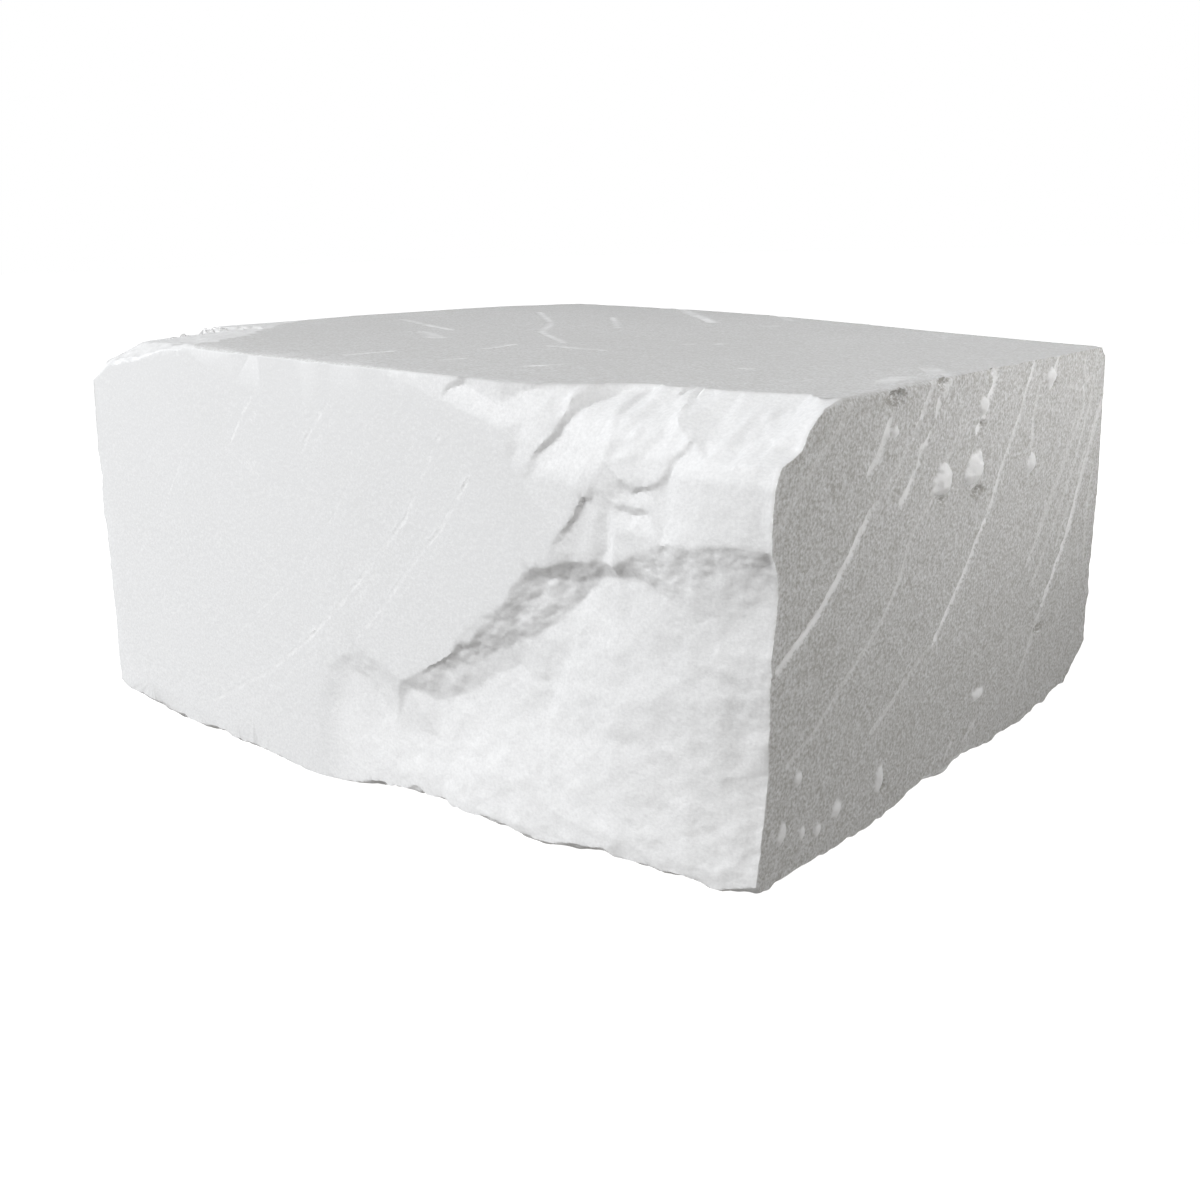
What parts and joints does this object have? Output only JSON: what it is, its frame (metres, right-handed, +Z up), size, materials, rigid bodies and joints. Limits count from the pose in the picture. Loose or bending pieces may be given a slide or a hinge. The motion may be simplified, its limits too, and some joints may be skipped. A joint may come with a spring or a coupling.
{
  "type": "chalk block",
  "caption": "Sawn rectangular block of dry pressed chalk with one long side broken open in stepped ledges and worn edges.",
  "frame": {"origin": "middle of the bounding box, on the plane that the block rests on", "axes": "+X along the long side towards the scored end, +Y away from the broken front, +Z up"},
  "size_m": [0.0582, 0.0498, 0.0271],
  "materials": {
    "chalk": "matte"
  },
  "bodies": {
    "root": {"chalk_block": "chalk"}
  },
  "joints": []
}
